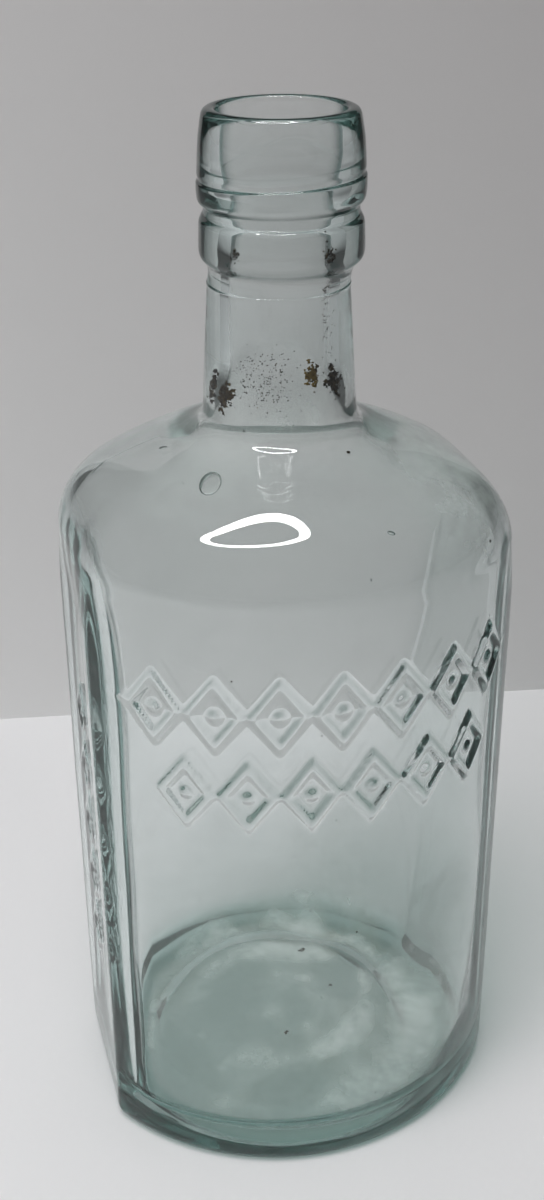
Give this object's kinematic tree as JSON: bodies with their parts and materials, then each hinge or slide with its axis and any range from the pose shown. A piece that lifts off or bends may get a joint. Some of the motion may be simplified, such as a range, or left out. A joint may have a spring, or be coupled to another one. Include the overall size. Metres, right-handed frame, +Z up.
{
  "type": "antique glass bottle",
  "caption": "Pale aqua antique glass bottle with rounded front and back, narrow flat sides, domed shoulder, tapered neck and a tooled applied finish.",
  "frame": {"origin": "middle of the base, on the surface that the bottle stands on", "axes": "+Z up the bottle's axis, X across the two narrow flat sides, -Y out of the rounded front"},
  "size_m": [0.0876, 0.0822, 0.216],
  "materials": {
    "aqua_glass": "clear, slightly wavy old glass with a pale aqua tint"
  },
  "bodies": {
    "root": {"bottle_body": "aqua_glass", "applied_finish": "aqua_glass"}
  },
  "joints": []
}
